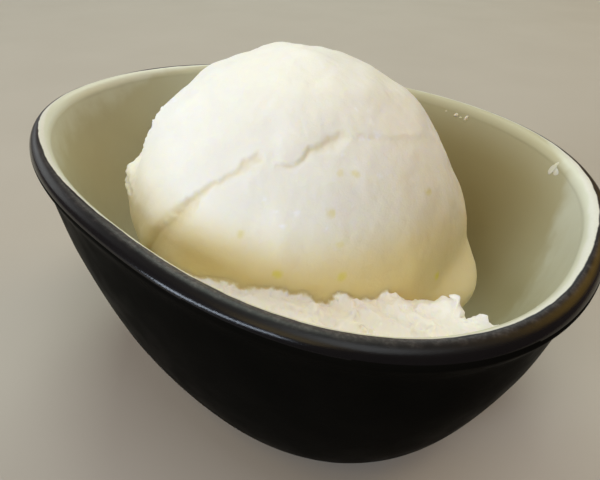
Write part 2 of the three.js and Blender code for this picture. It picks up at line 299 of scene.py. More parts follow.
# Torn tips on the crest: azimuth, way out from the ball, height, half-length and turn.
TIPS = [
    (-32.8, 0.8, 6.1, 1.3, 122), (-29.8, 1.4, 5.9, 0.9, 150), (-21.6, 6.6, 6.8, 0.8, 100),
    (-22.8, 11.2, 7.6, 0.9, 60),
]
TIP_BREADTHS = (0.5, 0.3)  # shares of a tip's half-length
TIP_BLEND = 0.3
COLLAR_FOOT = 22  # the collar's piece starts this high; below it the ball fills the bowl
COLLAR_OVERLAP = 6  # how far it reaches into the ball
COLLAR_COLOUR = (0.05, 0.35)  # its colour comes over this way out from the ball
FILLET = 0.6  # where it meets the ball
FILLET_SINK = 0.04
FILLET_REACH = 2.5
COLLAR_VOXEL = 0.22
COLLAR_BLOCK = ((-24, -42, 21), (50, -2, 48))
CRAG_REACH = 2.5
GRAIN_REACH = 1.5
FIELD_SLOPE = 0.85  # makes the height over the collar's top about a distance
ADAPTIVITY = 0.1

# What lies on the bowl's wall: angle round the bowl in degrees, level, half-lengths and turn.
CRUMBS = [
    (71.6, 0.99, (0.55, 0.4, 0.35), 10), (68.6, 0.992, (0.75, 0.4, 0.35), 60),
    (70.2, 0.985, (0.3, 0.25, 0.2), 0), (74.5, 0.995, (0.25, 0.2, 0.18), 30),
    (35.6, 0.99, (1.7, 0.7, 0.1), 70), (33.9, 0.985, (0.8, 0.7, 0.1), 20),
]
CRUMB_LUMPS = (0.25, 0.6, 71)  # shares of the crumb's size
CRUMB_SHIFT = 9  # gives each crumb lumps of its own
# painted warm shade on the crumbs, which lie in shade on the far wall
CRUMB_SHADE = 0.3
CRUMB_ROWS = 18
CRUMB_COLUMNS = 28
WALL_STEP = 0.01  # a small step in angle or level, to find which way the wall faces

SORBET_DEPTH = 2.0  # how far light gets into the sorbet
CRUMB_DEPTH = 0.3

# -------------------------------- helpers for numbers


def signed_power(value, power):
    return np.sign(value) * np.abs(value) ** power


def lerp(start, end, share):
    return start + (end - start) * share


def ramp(value, start, end):
    """0 before start, 1 after end, smooth between; start may be the larger."""
    share = np.clip((value - start) / (end - start), 0, 1)
    return share * share * (3 - 2 * share)


def bump(value, centre, half_width):
    """1 at the centre, 0 from half_width on."""
    return 1 - ramp(np.abs(value - centre), 0, half_width)


def along(values, share):
    """The value at share (0 to 1) of the way through an evenly spaced list."""
    return np.interp(np.clip(share, 0, 1), np.linspace(0, 1, len(values)), values)


def read_table(rows, places):
    """The columns of a table at places between its rows, which are sorted by the first column."""
    table = np.array(rows, float)
    return [np.interp(places, table[:, 0], column) for column in table.T[1:]]


def smooth_union(first, second, radius):
    share = np.clip(0.5 + (second - first) / (2 * radius), 0, 1)
    return lerp(second, first, share) - radius * share * (1 - share)


def direction(azimuth, elevation):
    azimuth = np.radians(azimuth)
    elevation = np.radians(elevation)
    level = np.cos(elevation)
    return np.stack([level * np.cos(azimuth), level * np.sin(azimuth), np.sin(elevation)], -1)


LATTICE = 64  # cells after which the noise repeats
noise_tables = {}


def noise(points, size, seed):
    """Smooth noise from -1 to 1 with lumps of about the given size."""
    if seed not in noise_tables:
        values = np.random.default_rng(seed).uniform(-1, 1, (LATTICE, LATTICE, LATTICE))
        noise_tables[seed] = values.astype(np.float32)
    table = noise_tables[seed]
    scaled = points / size
    cell = np.floor(scaled).astype(np.int32)
    part = (scaled - cell).astype(np.float32)
    part = part * part * part * (part * (part * 6 - 15) + 10)
    low = cell % LATTICE
    high = (cell + 1) % LATTICE
    total = 0
    for x, wx in ((low[:, 0], 1 - part[:, 0]), (high[:, 0], part[:, 0])):
        for y, wy in ((low[:, 1], 1 - part[:, 1]), (high[:, 1], part[:, 1])):
            for z, wz in ((low[:, 2], 1 - part[:, 2]), (high[:, 2], part[:, 2])):
                total = total + wx * wy * wz * table[x, y, z]
    return total


def add_noise(start, points, *layers):
    """Start with layers of noise on it."""
    for height, size, seed in layers:
        start = start + height * noise(points, size, seed)
    return start


def creases(points, layer, level):
    """A layer of noise with sharp creases, that is 0 at the level."""
    height, size, seed = layer
    return height * (np.abs(noise(points, size, seed)) - level)


def sharp(points, size, seed, steepness):
    """Noise with narrow peaks: 0 to 1."""
    return np.maximum(1 - steepness * np.abs(noise(points, size, seed)), 0)


# -------------------------------- helpers for objects


def closed_rings(rings, columns):
    """Faces over rings of points, closed by the two points that follow the last ring."""
    here = np.arange(columns)
    following = np.roll(here, -1)
    faces = []
    for start in range(0, (rings - 1) * columns, columns):
        above = start + columns
        quads = [start + here, start + following, above + following, above + here]
        faces.extend(np.stack(quads, 1).tolist())
    last = (rings - 1) * columns
    bottom = np.full(columns, rings * columns)
    faces.extend(np.stack([following, here, bottom], 1).tolist())
    faces.extend(np.stack([last + here, last + following, bottom + 1], 1).tolist())
    return faces


def make_object(name, points, faces, material, node, values):
    """A smooth mesh on the root body, from points in mm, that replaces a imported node."""
    mesh = bpy.data.meshes.new(name)
    mesh.from_pydata((points * MM).tolist(), [], faces)
    mesh.validate()
    for key, value in values.items():
        attribute = mesh.attributes.new(key, "FLOAT", "POINT")
        attribute.data.foreach_set("value", value.astype(np.float32))
    mesh.shade_smooth()
    mesh.materials.append(material)
    piece = bpy.data.objects.new(name, mesh)
    bpy.context.scene.collection.objects.link(piece)
    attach(piece, "root")
    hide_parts(node)
    return piece


class Nodes:
    """A short way to write a material's nodes."""

    def __init__(self, name):
        self.material = bpy.data.materials.new(name)
        self.material.use_nodes = True
        self.tree = self.material.node_tree
        self.shader = self.tree.nodes["Principled BSDF"]

    def add(self, kind, **settings):
        node = self.tree.nodes.new("ShaderNode" + kind)
        for key, value in settings.items():
            setattr(node, key, value)
        return node

    def link(self, source, target):
        if hasattr(source, "is_output"):
            self.tree.links.new(source, target)
        else:
            target.default_value = source

    def attribute(self, name):
        return self.add("Attribute", attribute_name=name).outputs["Fac"]

    def place(self):
        return self.add("TexCoord").outputs["Object"]

    def noise(self, size, detail):
        """Blender's noise, about 0 to 1, with lumps of the given size in mm."""
        node = self.add("TexNoise")
        self.link(self.place(), node.inputs["Vector"])
        node.inputs["Scale"].default_value = 1 / (size * MM)
        node.inputs["Detail"].default_value = detail
        return node.outputs["Fac"]

    def specks(self, size):
        """Distance to the nearest of scattered points, in cells of the given size in mm."""
        node = self.add("TexVoronoi")
        self.link(self.place(), node.inputs["Vector"])
        node.inputs["Scale"].default_value = 1 / (size * MM)
        return node.outputs["Distance"]

    def math(self, operation, first, second):
        node = self.add("Math", operation=operation)
        self.link(first, node.inputs[0])
        self.link(second, node.inputs[1])
        return node.outputs[0]

    def span(self, value, start, end, low=0.0, high=1.0):
        """Low before start and high after end, smooth between."""
        node = self.add("MapRange", interpolation_type="SMOOTHSTEP")
        self.link(value, node.inputs["Value"])
        numbers = {"From Min": start, "From Max": end, "To Min": low, "To Max": high}
        for key, number in numbers.items():
            node.inputs[key].default_value = number
        return node.outputs["Result"]

    def mix(self, share, first, second):
        node = self.add("Mix", data_type="RGBA")
        self.link(share, node.inputs["Factor"])
        for value, target in ((first, node.inputs["A"]), (second, node.inputs["B"])):
            colour = value if hasattr(value, "is_output") else (*value, 1)
            self.link(colour, target)
        return node.outputs["Result"]

    def bump(self, height, distance, strength, normal=None):
        node = self.add("Bump")
        self.link(height, node.inputs["Height"])
        node.inputs["Distance"].default_value = distance * MM
        node.inputs["Strength"].default_value = strength
        if normal:
            self.link(normal, node.inputs["Normal"])
        return node.outputs["Normal"]


# -------------------------------- bowl shape

OUTSIDE = {
    "floor": 0,
    "base_length": BASE_HALF_LENGTH,
    "base_width": BASE_HALF_WIDTH,
    "length": RIM_HALF_LENGTH,
    "width": RIM_HALF_WIDTH,
}
INSIDE = {
    "floor": FLOOR_THICKNESS,
    "base_length": BASE_HALF_LENGTH - HOLLOW_INSET,
    "base_width": BASE_HALF_WIDTH - HOLLOW_INSET,
    "length": RIM_HALF_LENGTH - END_WALL,
    "width": RIM_HALF_WIDTH - SIDE_WALL,
}


def wall_thickness(lengthwise):
    return lerp(SIDE_WALL, END_WALL, lengthwise ** 2)


def crest_height(lengthwise):
    return RIM_HEIGHT - RIM_TILT * lengthwise - RIM_SAG * (2 * lengthwise ** 2 - 1)


def wall_top(lengthwise):
    return crest_height(lengthwise) - wall_thickness(lengthwise) / 2


def outline(shell, level, lengthwise):
    """The outline's half-length, half-width and centre at a level from 0, the floor, to 1."""
    end_bend = np.where(lengthwise < 0, NARROW_END_BEND, WIDE_END_BEND)
    length = lerp(shell["base_length"], shell["length"], level ** (1 / end_bend))
    width = lerp(shell["base_width"], shell["width"], level ** (1 / SIDE_BEND))
    return length, width, BASE_SHIFT * (1 - np.sqrt(level))


def shell_points(shell, angle, level):
    lengthwise = signed_power(np.cos(angle), 2 / OVAL_POWER)
    sideways = signed_power(np.sin(angle), 2 / OVAL_POWER)
    length, width, shift = outline(shell, level, lengthwise)
    return np.stack([
        shift + length * lengthwise,
        width * sideways * (1 + EGG_TAPER * lengthwise),
        lerp(shell["floor"], wall_top(lengthwise), level),
    ], -1)


def outside_points(angle, level):
    points = shell_points(OUTSIDE, angle, level)
    depth = crest_height(signed_power(np.cos(angle), 2 / OVAL_POWER)) - points[..., 2]
    inset = LIP_OVERHANG * ramp(depth, LIP_DEPTH, NECK_DEPTH) * ramp(depth, NECK_END, NECK_DEPTH)
    points[..., :2] *= (1 - inset / RIM_HALF_WIDTH)[..., None]
    return points


def lip_points(angle, turn):
    """The half-round lip, from the outside (turn 0) over the crest to the inside (turn pi)."""
    outer = shell_points(OUTSIDE, angle, np.ones_like(angle))
    inner = shell_points(INSIDE, angle, np.ones_like(angle))
    points = lerp(outer, inner, (1 - np.cos(turn))[..., None] / 2)
    lengthwise = signed_power(np.cos(angle), 2 / OVAL_POWER)
    points[..., 2] += wall_thickness(lengthwise) / 2 * np.sin(turn)
    return points


def levels(rows):
    share = 1 - (1 - np.arange(rows + 1) / rows) ** ROW_CROWDING
    return share ** SIDE_BEND


def way_from_row(rings, row):
    """Way over the rings from one of them, in mm: below 0 outside it, above 0 inside."""
    steps = np.linalg.norm(np.diff(rings, axis=0), axis=2)
    way = np.concatenate([np.zeros((1, BOWL_SEGMENTS)), np.cumsum(steps, axis=0)])
    return way - way[row]


def wavy(points, way):
    """The points after the glaze's unevenness outside has moved them."""
    wave = add_noise(0, points, *GLAZE_WAVE_LAYERS)
    fade = ramp(-way, *WAVE_BELOW_LIP) * ramp(points[:, 2], *WAVE_ABOVE_FOOT)
    outward = points - np.array([BASE_SHIFT, 0, RIM_HEIGHT])
    outward /= np.linalg.norm(outward, axis=1, keepdims=True)
    return points + outward * (GLAZE_WAVE * (wave - 1) * fade)[:, None]


def glaze_values(angle, way):
    """What the glazes' materials read at each point, by its angle in degrees and its way."""
    start, pale_width, light_width = read_table(GLAZE_EDGE, angle)
    inward = way - start
    # painted shade on the inner wall beside the scoop
    scoop_shade = bump(angle, SCOOP_SHADE["angle"], SCOOP_SHADE["half_width"])
    return {
        "way": way,
        "inward": inward,
        "pale": inward / pale_width,
        "light": inward / light_width,
        "scoop_shade": scoop_shade * ramp(inward, SCOOP_SHADE["start"], SCOOP_SHADE["full"]),
    }


def make_bowl(glazes):
    """The bowl, with the glazes of its outside, its lip and its inside."""
    angles = np.linspace(0, 2 * np.pi, BOWL_SEGMENTS, endpoint=False)
    turns = np.linspace(0, np.pi, LIP_ROWS + 1)[1:-1]
    outside = outside_points(*np.meshgrid(angles, levels(OUTSIDE_ROWS)))
    lip = lip_points(*np.meshgrid(angles, turns))
    inside = shell_points(INSIDE, *np.meshgrid(angles, levels(INSIDE_ROWS)[::-1]))
    rings = np.concatenate([outside, lip, inside])
    way = way_from_row(rings, len(outside) + len(lip) // 2).reshape(-1)
    centres = [[BASE_SHIFT, 0, 0], [BASE_SHIFT, 0, FLOOR_THICKNESS]]
    points = np.concatenate([wavy(rings.reshape(-1, 3), way), centres])
    angle = np.append(np.tile((np.degrees(angles) + 180) % 360 - 180, len(rings)), [0, 0])
    values = glaze_values(angle, np.append(way, [way.min(), way.max()]))
    faces = closed_rings(len(rings), BOWL_SEGMENTS)
    bowl = make_object("glazed_bowl", points, faces, glazes[0], "bowl", values)
    for glaze in glazes[1:]:
        bowl.data.materials.append(glaze)
    first = np.array([face.vertices[0] for face in bowl.data.polygons])
    on_lip = values["way"][first] > LIP_END
    within = values["inward"][first] > -DARK_EDGE
    bowl.data.polygons.foreach_set("material_index", (on_lip.astype(int) + within).tolist())


# -------------------------------- the ball of sorbet


def beyond_wall(points):
    """How far a point lies outside the bowl's hollow, in mm, roughly; below 0 inside it."""
    height = points[:, 2]
    lengthwise = np.clip(points[:, 0] / INSIDE["length"], -1, 1)
    for _ in range(3):
        top = wall_top(lengthwise)
        level = np.clip((height - INSIDE["floor"]) / (top - INSIDE["floor"]), 1e-6, 1)
        length, width, shift = outline(INSIDE, level, lengthwise)
        lengthwise = np.clip((points[:, 0] - shift) / length, -1, 1)
    across = np.abs(points[:, 1]) / (width * (1 + EGG_TAPER * lengthwise))
    lengths = np.abs(points[:, 0] - shift) / length
    size = (lengths ** OVAL_POWER + across ** OVAL_POWER) ** (1 / OVAL_POWER) + 1e-6
    out = np.hypot(points[:, 0] - shift, points[:, 1])
    return np.maximum(out * (1 - 1 / size), INSIDE["floor"] - height)


def angles_of(points):
    """Azimuth and elevation round the ball, in degrees, and the distance from its centre."""
    offset = points - BALL_CENTRE
    distance = np.linalg.norm(offset, axis=1) + 1e-9
    azimuth = np.degrees(np.arctan2(offset[:, 1], offset[:, 0]))
    elevation = np.degrees(np.arcsin(np.clip(offset[:, 2] / distance, -1, 1)))
    return azimuth, elevation, distance


def crack_relief(heading, crack):
    """The crack's relief in mm, and how far down in the crack a point is, from 0 to 1."""
    path = np.array(crack["points"], float)
    knots = direction(path[:, 0], path[:, 1])
    way = np.append(0, np.cumsum(np.linalg.norm(np.diff(knots, axis=0), axis=1)))
    place = np.linspace(0, way[-1], CRACK_STEPS)
    azimuth, elevation, depth, width = (np.interp(place, way, column) for column in path.T)
    curve = direction(azimuth, elevation)
    forward = np.gradient(curve, axis=0)
    upward = np.cross(curve, forward)
    upward /= np.linalg.norm(upward, axis=1, keepdims=True)
    nearest = np.argmax(heading @ curve.T, axis=1)
    gap = heading - curve[nearest]
    across = np.einsum("ij,ij->i", gap, upward[nearest]) * BALL_RADIUS
    distance = np.linalg.norm(gap, axis=1) * BALL_RADIUS
    beyond = np.sqrt(np.maximum(distance ** 2 - across ** 2, 0))
    here = nearest / (len(curve) - 1)
    depth = depth[nearest]
    width = width[nearest]

    on_ball = heading * BALL_RADIUS
    ragged = add_noise(0, on_ball, CRACK_WANDER) + creases(on_ball, CRACK_NOTCHES, NOTCH_LEVEL)
    across = across + crack["ragged"] * ragged * np.minimum(width / 2, WIDE_CRACK_WANDER / width)
    side = width * np.where(across > 0, CRACK_ABOVE["side"], CRACK_BELOW["side"])
    power = np.where(across > 0, CRACK_ABOVE["power"], CRACK_BELOW["power"])
    groove = np.exp(-np.abs(across / side) ** power)
    ledge_start = width * LEDGE_START
    ledge = np.where(across > ledge_start, 1 - ramp(across, ledge_start, LEDGE_FADE), 0)
    fade = 1 - ramp(beyond, 0, CRACK_END_FADE)
    relief = fade * (crack["ledge"] * ledge * (1 - here) - depth * groove)
    return relief, fade * groove * np.minimum(depth / FULL_CRACK, 1)


def within_margin(angle, path, margin):
    return (angle > path.min() - margin) & (angle < path.max() + margin)


def all_cracks(heading, azimuth, elevation):
    relief = np.zeros(len(heading))
    depth = np.zeros(len(heading))
    for crack in CRACKS:
        path = np.array(crack["points"], float)
        near = within_margin(elevation, path[:, 1], CRACK_MARGIN["elevation"])
        near &= within_margin(azimuth, path[:, 0], CRACK_MARGIN["azimuth"])
        places = np.flatnonzero(near)
        height, down = crack_relief(heading[places], crack)
        relief[places] += height
        depth[places] = np.maximum(depth[places], down)
    return relief, depth


def patch(azimuth, elevation, place):
    turned = (azimuth - place["azimuth"] + 180) % 360 - 180
    raised = bump(elevation, place["elevation"], place["half_height"])
    return bump(turned, 0, place["half_width"]) * raised


def slump(azimuth, elevation):
    height = ramp(elevation, SLUMP["start"], SLUMP["peak"]) ** 2
    height = height * (1 - ramp(elevation, SLUMP["peak"] - 1, SLUMP["end"]))
    return SLUMP["out"] * bump(azimuth, SLUMP["azimuth"], SLUMP["half_width"]) * height


def undercut(azimuth, elevation):
    depth = UNDERCUT["depth"] * bump(azimuth, UNDERCUT["azimuth"], UNDERCUT["half_width"])
    return depth * ramp(elevation, UNDERCUT["start"], UNDERCUT["end"])


def frill(on_ball, azimuth, elevation):
    """The teeth of the frayed edge."""
    height, = read_table(FRILL["teeth"], add_noise(elevation, on_ball, FRILL["wander_up"]))
    turned = add_noise(azimuth, on_ball, FRILL["wander_round"])
    return bump(turned, FRILL["azimuth"], FRILL["half_width"]) * height


def fray(on_ball, azimuth, elevation):
    """The small spikes round the frayed edge."""
    gaps = np.maximum(noise(on_ball, **FRAY_GAPS), 0)
    spikes = sharp(on_ball, **FRAY_SPIKES) * gaps
    return FRAY["out"] * patch(azimuth, elevation, FRAY) * spikes


def ball_reach(heading, azimuth, elevation):
    """Distance from the ball's centre to the sorbet's surface."""
    on_ball = heading * BALL_RADIUS
    reach = add_noise(BALL_RADIUS, on_ball, *BALL_WAVES)
    reach += slump(azimuth, elevation)
    reach -= undercut(azimuth, elevation)
    for swell in SWELLS:
        reach += swell["out"] * patch(azimuth, elevation, swell)
    reach += frill(on_ball, azimuth, elevation)
    reach += fray(on_ball, azimuth, elevation)
    relief, _ = all_cracks(heading, azimuth, elevation)
    return add_noise(reach + relief, on_ball, BALL_GRAIN)


def limit_to_bowl(reach, heading, elevation):
    """Shortens the reach of what would come closer to the bowl's wall than the gap."""
    low = np.flatnonzero(elevation < WALL_BELOW)
    short = np.full(len(low), SURELY_INSIDE)
    long = reach[low].copy()
    outside = beyond_wall(BALL_CENTRE + heading[low] * long[:, None]) > -WALL_GAP
    for _ in range(HALVINGS):
        middle = (short + long) / 2
        hit = beyond_wall(BALL_CENTRE + heading[low] * middle[:, None]) > -WALL_GAP
        long = np.where(hit, middle, long)
        short = np.where(hit, short, middle)
    reach[low] = np.where(outside, short, reach[low])
    return reach


def crowded(start, end, count, dense):
    """Count + 1 places from start to end, closer together in the dense ranges."""
    fine = np.linspace(start, end, DENSE_STEPS)
    weight = np.ones_like(fine)
    for low, high, extra in dense:
        weight += extra * ramp(fine, low - DENSE_FADE, low) * ramp(fine, high + DENSE_FADE, high)
    share = np.append(0, np.cumsum((weight[1:] + weight[:-1]) / 2))
    return np.interp(np.linspace(0, 1, count + 1), share / share[-1], fine)


def ball_mesh():
    """A grid of azimuths and elevations with a point at each pole, finest on its near side."""
    azimuths = crowded(BALL_SEAM - 360, BALL_SEAM, BALL_COLUMNS, DENSE_AZIMUTHS)[:-1]
    elevations = crowded(-90, 90, BALL_ROWS, DENSE_ELEVATIONS)[1:-1]
    azimuth, elevation = np.meshgrid(azimuths, elevations)
    azimuth = (np.append(azimuth.ravel(), [0, 0]) + 180) % 360 - 180
    elevation = np.append(elevation.ravel(), [-90, 90])
    heading = direction(azimuth, elevation)
    reach = limit_to_bowl(ball_reach(heading, azimuth, elevation), heading, elevation)
    points = BALL_CENTRE + heading * reach[:, None]
    return points, closed_rings(len(elevations), len(azimuths))


# -------------------------------- the collar of sorbet


def collar_share(azimuth, out):
    start = ramp(azimuth, COLLAR["start"], COLLAR["start"] + COLLAR["left_slope"])
    bite = END_BITE["turn"] * bump(out, END_BITE["out"], END_BITE["half_width"])
    end = COLLAR["end"] - COLLAR["end_turn"] * np.maximum(out, 0) - bite
    return start * ramp(azimuth, end, end - COLLAR["right_slope"])


def collar_top(azimuth, out):
    """Height of the collar's top above the ball's centre, at a distance out from the ball."""
    contact, crest, crest_out, rise = read_table(COLLAR_TOP, azimuth)
    height = lerp(contact, crest, np.clip(out / crest_out, 0, 1))
    height = height + rise * np.maximum(out - crest_out, 0)
    return lerp(COLLAR["lowest"], height, collar_share(azimuth, out))


def collar_lumps(points):
    lumps = 0
    for height, size, seed in COLLAR_LUMPS:
        lumps = lumps + height * (sharp(points, size, seed, LUMP_STEEPNESS) - LUMP_LEVEL)
    return lumps


def collar_field(points):
    """Above 0 outside the collar, whose crest is lumpy."""
    offset = points - BALL_CENTRE
    out = np.hypot(offset[:, 0], offset[:, 1]) - BALL_RADIUS
    azimuth = np.degrees(np.arctan2(offset[:, 1], offset[:, 0]))
    height = collar_top(azimuth + add_noise(0, points, *COLLAR_WANDER), out)
    fade = np.exp(-np.maximum(out, 0) / LUMP_FADE)
    height += collar_lumps(points) * fade * ramp(azimuth, *LUMP_START)
    return FIELD_SLOPE * (offset[:, 2] - height)


def collar_crags(points):
    azimuth, _, _ = angles_of(points)
    rough = CRAG_HEIGHT["left"] + CRAG_HEIGHT["more"] * ramp(azimuth, *CRAG_HEIGHT["azimuths"])
    return rough * sum(creases(points, layer, CRAG_LEVEL) for layer in COLLAR_CRAGS)


def turned_frame(turn, upright=(0, 0, 1)):
    """Three directions as columns: the first turned round the upright, the last along it."""
    upright = np.array(upright, float)
    upright /= np.linalg.norm(upright)
    side = np.cross(upright, (0, 0, 1) if abs(upright[2]) < 0.9 else (1, 0, 0))
    side /= np.linalg.norm(side)
    ahead = np.cross(upright, side)
    angle = math.radians(turn)
    first = side * math.cos(angle) + ahead * math.sin(angle)
    return np.stack([first, np.cross(upright, first), upright], 1)


class Block:
    """A block of field values on a grid, in mm, whose surface lies where they are 0."""

    def __init__(self, low, high, voxel, field):
        self.low = np.array(low, float)
        self.voxel = voxel
        counts = np.ceil((np.array(high) - self.low) / voxel).astype(int) + 1
        self.values = np.empty(counts, np.float32)
        for row in range(counts[0]):
            self.values[row] = field(self.row_points(row)).reshape(counts[1:])

    def row_points(self, row):
        _, many, tall = self.values.shape
        y = self.low[1] + self.voxel * np.arange(many)
        z = self.low[2] + self.voxel * np.arange(tall)
        x = np.full(many * tall, self.low[0] + self.voxel * row)
        return np.stack([x, np.repeat(y, tall), np.tile(z, many)], 1)

    def near_points(self, distance):
        """Where the surface is near, and the points there."""
        places = np.nonzero(np.abs(self.values) < distance)
        return places, self.low + self.voxel * np.stack(places, 1)

    def join_flake(self, centre, lengths, turn, blend):
        """Joins a turned ellipsoid with these half-lengths, the first of them the longest."""
        reach = lengths[0] + 1
        start = np.floor((centre - self.low - reach) / self.voxel).astype(int)
        end = np.ceil((centre - self.low + reach) / self.voxel).astype(int)
        start = np.maximum(start, 0)
        end = np.minimum(end, self.values.shape)
        window = tuple(slice(first, last) for first, last in zip(start, end))
        places = np.stack(np.mgrid[window], -1)
        turned = (self.low + self.voxel * places - centre) @ turn
        scaled = np.linalg.norm(turned / lengths, axis=-1)
        steep = np.linalg.norm(turned / lengths ** 2, axis=-1) + 1e-6
        lump = scaled * (scaled - 1) / steep
        self.values[window] = smooth_union(self.values[window], lump, blend)

    def surface(self, adaptivity):
        edge = 3 * self.voxel
        grid = openvdb.FloatGrid(edge)
        grid.copyFromArray(np.clip(self.values, -edge, edge))
        points, triangles, quads = grid.convertToPolygons(isovalue=0.0, adaptivity=adaptivity)
        faces = triangles.tolist() + quads.tolist()
        return points.astype(float) * self.voxel + self.low, faces


def largest_part(points, faces):
    """The points and faces of the largest connected part, without its loose scraps."""
    corners = np.array([(*face, face[-1])[:4] for face in faces])
    label = np.arange(len(points))
    while True:
        before = label.copy()
        lowest = label[corners].min(axis=1)
        for column in corners.T:
            np.minimum.at(label, column, lowest)
        label = label[label]
        if np.array_equal(label, before):
            break
    kept = label == np.bincount(label).argmax()
    number = np.cumsum(kept) - 1
    faces = [tuple(int(number[corner]) for corner in face) for face in faces if kept[face[0]]]
    return points[kept], faces


def join_tips(block):
    for azimuth, out, height, half_length, turn in TIPS:
        level = (BALL_RADIUS + out) * direction(azimuth, 0)[:2]
        centre = BALL_CENTRE + np.append(level, height)
        lengths = half_length * np.array([1, *TIP_BREADTHS])
        block.join_flake(centre, lengths, turned_frame(turn), TIP_BLEND)


def join_ball(block, places, points):
    """Rounds the corner between the collar and the ball."""
    azimuth, elevation, distance = angles_of(points)
    close = np.flatnonzero(np.abs(distance - BALL_RADIUS) < FILLET_REACH)
    azimuth, elevation, distance = azimuth[close], elevation[close], distance[close]
    places = tuple(place[close] for place in places)
    ball = distance - ball_reach(direction(azimuth, elevation), azimuth, elevation) + FILLET_SINK
    block.values[places] = smooth_union(block.values[places], ball, FILLET)


def trim_collar(block):
    """Cuts the collar off below its foot, deep in the ball and at the bowl's wall."""
    for row in range(len(block.values)):
        points = block.row_points(row)
        from_centre = np.linalg.norm(points - BALL_CENTRE, axis=1)
        edge = np.maximum(BALL_RADIUS - COLLAR_OVERLAP - from_centre, COLLAR_FOOT - points[:, 2])
        edge = np.maximum(edge, beyond_wall(points) + WALL_GAP)
        block.values[row] = np.maximum(block.values[row], edge.reshape(block.values[row].shape))


def collar_mesh():
    block = Block(*COLLAR_BLOCK, COLLAR_VOXEL, collar_field)
    places, points = block.near_points(CRAG_REACH)
    block.values[places] += collar_crags(points)
    join_tips(block)
    places, points = block.near_points(GRAIN_REACH)
    block.values[places] += creases(points, COLLAR_GRAIN, CRAG_LEVEL)
    join_ball(block, places, points)
    trim_collar(block)
    return largest_part(*block.surface(ADAPTIVITY))


# -------------------------------- the whole sorbet


def spots(points, spots_there, wander):
    """How strong the flecks or glints are at each point."""
    azimuth, elevation, distance = angles_of(points)
    heading = direction(azimuth, elevation)
    share = np.zeros(len(points))
    for spot_azimuth, spot_elevation, radius, strength in spots_there:
        away = np.linalg.norm(heading - direction(spot_azimuth, spot_elevation), axis=1) * distance
        away = add_noise(away, points, wander)
        share = np.maximum(share, strength * (1 - ramp(away, SPOT_CORE * radius, radius)))
    return share


def layer_share(low, layer):
    share, start, full = layer
    return share * ramp(low, start, full)


def warm_shade_share(points, azimuth, elevation):
    """How much painted warm shade, darker and yellower, the sorbet has, from 0 to 1."""
    start, end = WARM_SHADE["azimuths"]
    edge = along(WARM_SHADE["elevations"], (azimuth - start) / (end - start))
    left = ramp(azimuth, *WARM_SHADE_LEFT["azimuths"])
    low = add_noise(edge - elevation, points, WARM_SHADE["wander"]) / (1 + WARM_SHADE_LEFT["softer"] * left)
    share = sum(layer_share(low, layer) for layer in WARM_SHADE["layers"])
    share *= 1 - WARM_SHADE_LEFT["weaker"] * left
    tint = layer_share(low, WARM_SHADE_TINT["layer"]) * ramp(azimuth, *WARM_SHADE_TINT["azimuths"])
    share += tint * (1 - share)
    left_fade, right_fade = WARM_SHADE["fades"]
    share *= ramp(azimuth, start - left_fade, start) * (1 - ramp(azimuth, end, end + right_fade))
    return share * (1 - WARM_SHADE_RIGHT["weaker"] * ramp(azimuth, *WARM_SHADE_RIGHT["azimuths"]))


def sorbet_values(points):
    """What the sorbet's material reads at each point."""
    azimuth, elevation, distance = angles_of(points)
    heading = direction(azimuth, elevation)
    _, crack = all_cracks(heading, azimuth, elevation)
    collar = ramp(distance - ball_reach(heading, azimuth, elevation), *COLLAR_COLOUR)
    collar *= (azimuth > COLLAR["start"]) & (azimuth < COLLAR["end"])
    on_ball = {
        "zest": spots(points, ZEST, ZEST_WANDER),
        "painted_glint": spots(points, [(*glint, 1) for glint in GLINTS], GLINT_WANDER),
        "crack": crack,
        # painted warm shade on the lower front
        "warm_shade": warm_shade_share(points, azimuth, elevation),
    }
    return {"collar": collar} | {key: value * (1 - collar) for key, value in on_ball.items()}


def make_sorbet(material):
    for name, (points, faces) in (("sorbet_ball", ball_mesh()), ("sorbet_collar", collar_mesh())):
        values = sorbet_values(points)
        make_object(name, points, faces, material, "sorbet_scoop", values)


def unit_ball(rows, columns):
    azimuths = np.linspace(-180, 180, columns + 1)[:-1]
    elevations = np.linspace(-90, 90, rows + 1)[1:-1]
    azimuth, elevation = np.meshgrid(azimuths, elevations)
    rings = direction(azimuth.ravel(), elevation.ravel())
    points = np.concatenate([rings, [[0, 0, -1], [0, 0, 1]]])
    return points, closed_rings(len(elevations), columns)


def place_on_wall(angle, level):
    """A point on the bowl's inner wall and the direction in which the wall faces there."""
    angles = np.array([angle, angle + WALL_STEP, angle])
    near = shell_points(INSIDE, angles, np.array([level, level, level - WALL_STEP]))
    return near[0], np.cross(near[1] - near[0], near[2] - near[0])


def make_crumbs(material):
    """Crumbs and a smear of sorbet on the bowl's wall."""
    ball, ball_faces = unit_ball(CRUMB_ROWS, CRUMB_COLUMNS)
    points = []
    faces = []
    for angle, level, lengths, turn in CRUMBS:
        angle = math.radians(angle)
        place, outward = place_on_wall(angle, level)
        lumps = ball * add_noise(1, ball + angle * CRUMB_SHIFT, CRUMB_LUMPS)[:, None]
        first = len(points) * len(ball)
        points.append(place + (lumps * lengths) @ turned_frame(turn, outward).T)
        faces.extend([first + index for index in face] for face in ball_faces)
    points = np.concatenate(points)
    values = {key: np.zeros(len(points)) for key in ("zest", "painted_glint", "crack", "collar")}
    # painted warm shade on the crumbs
    values["warm_shade"] = np.full(len(points), CRUMB_SHADE)
    make_object("sorbet_crumbs", points, faces, material, "sorbet_scoop", values)


# -------------------------------- materials


def black_glaze():
    n = Nodes("satin_black_glaze")
    black = n.mix(n.noise(9, 4), (0.003, 0.003, 0.0025), (0.006, 0.0055, 0.0045))
    n.link(black, n.shader.inputs["Base Color"])
    n.link(n.span(n.noise(5, 3), 0.3, 0.7, 0.28, 0.38), n.shader.inputs["Roughness"])
    n.shader.inputs["IOR"].default_value = 1.02
    pits = n.bump(n.span(n.specks(0.8), 0.0, 0.35), 0.03, 0.4)
    n.link(n.bump(n.noise(4, 3), 0.04, 0.3, pits), n.shader.inputs["Normal"])
    return n.material


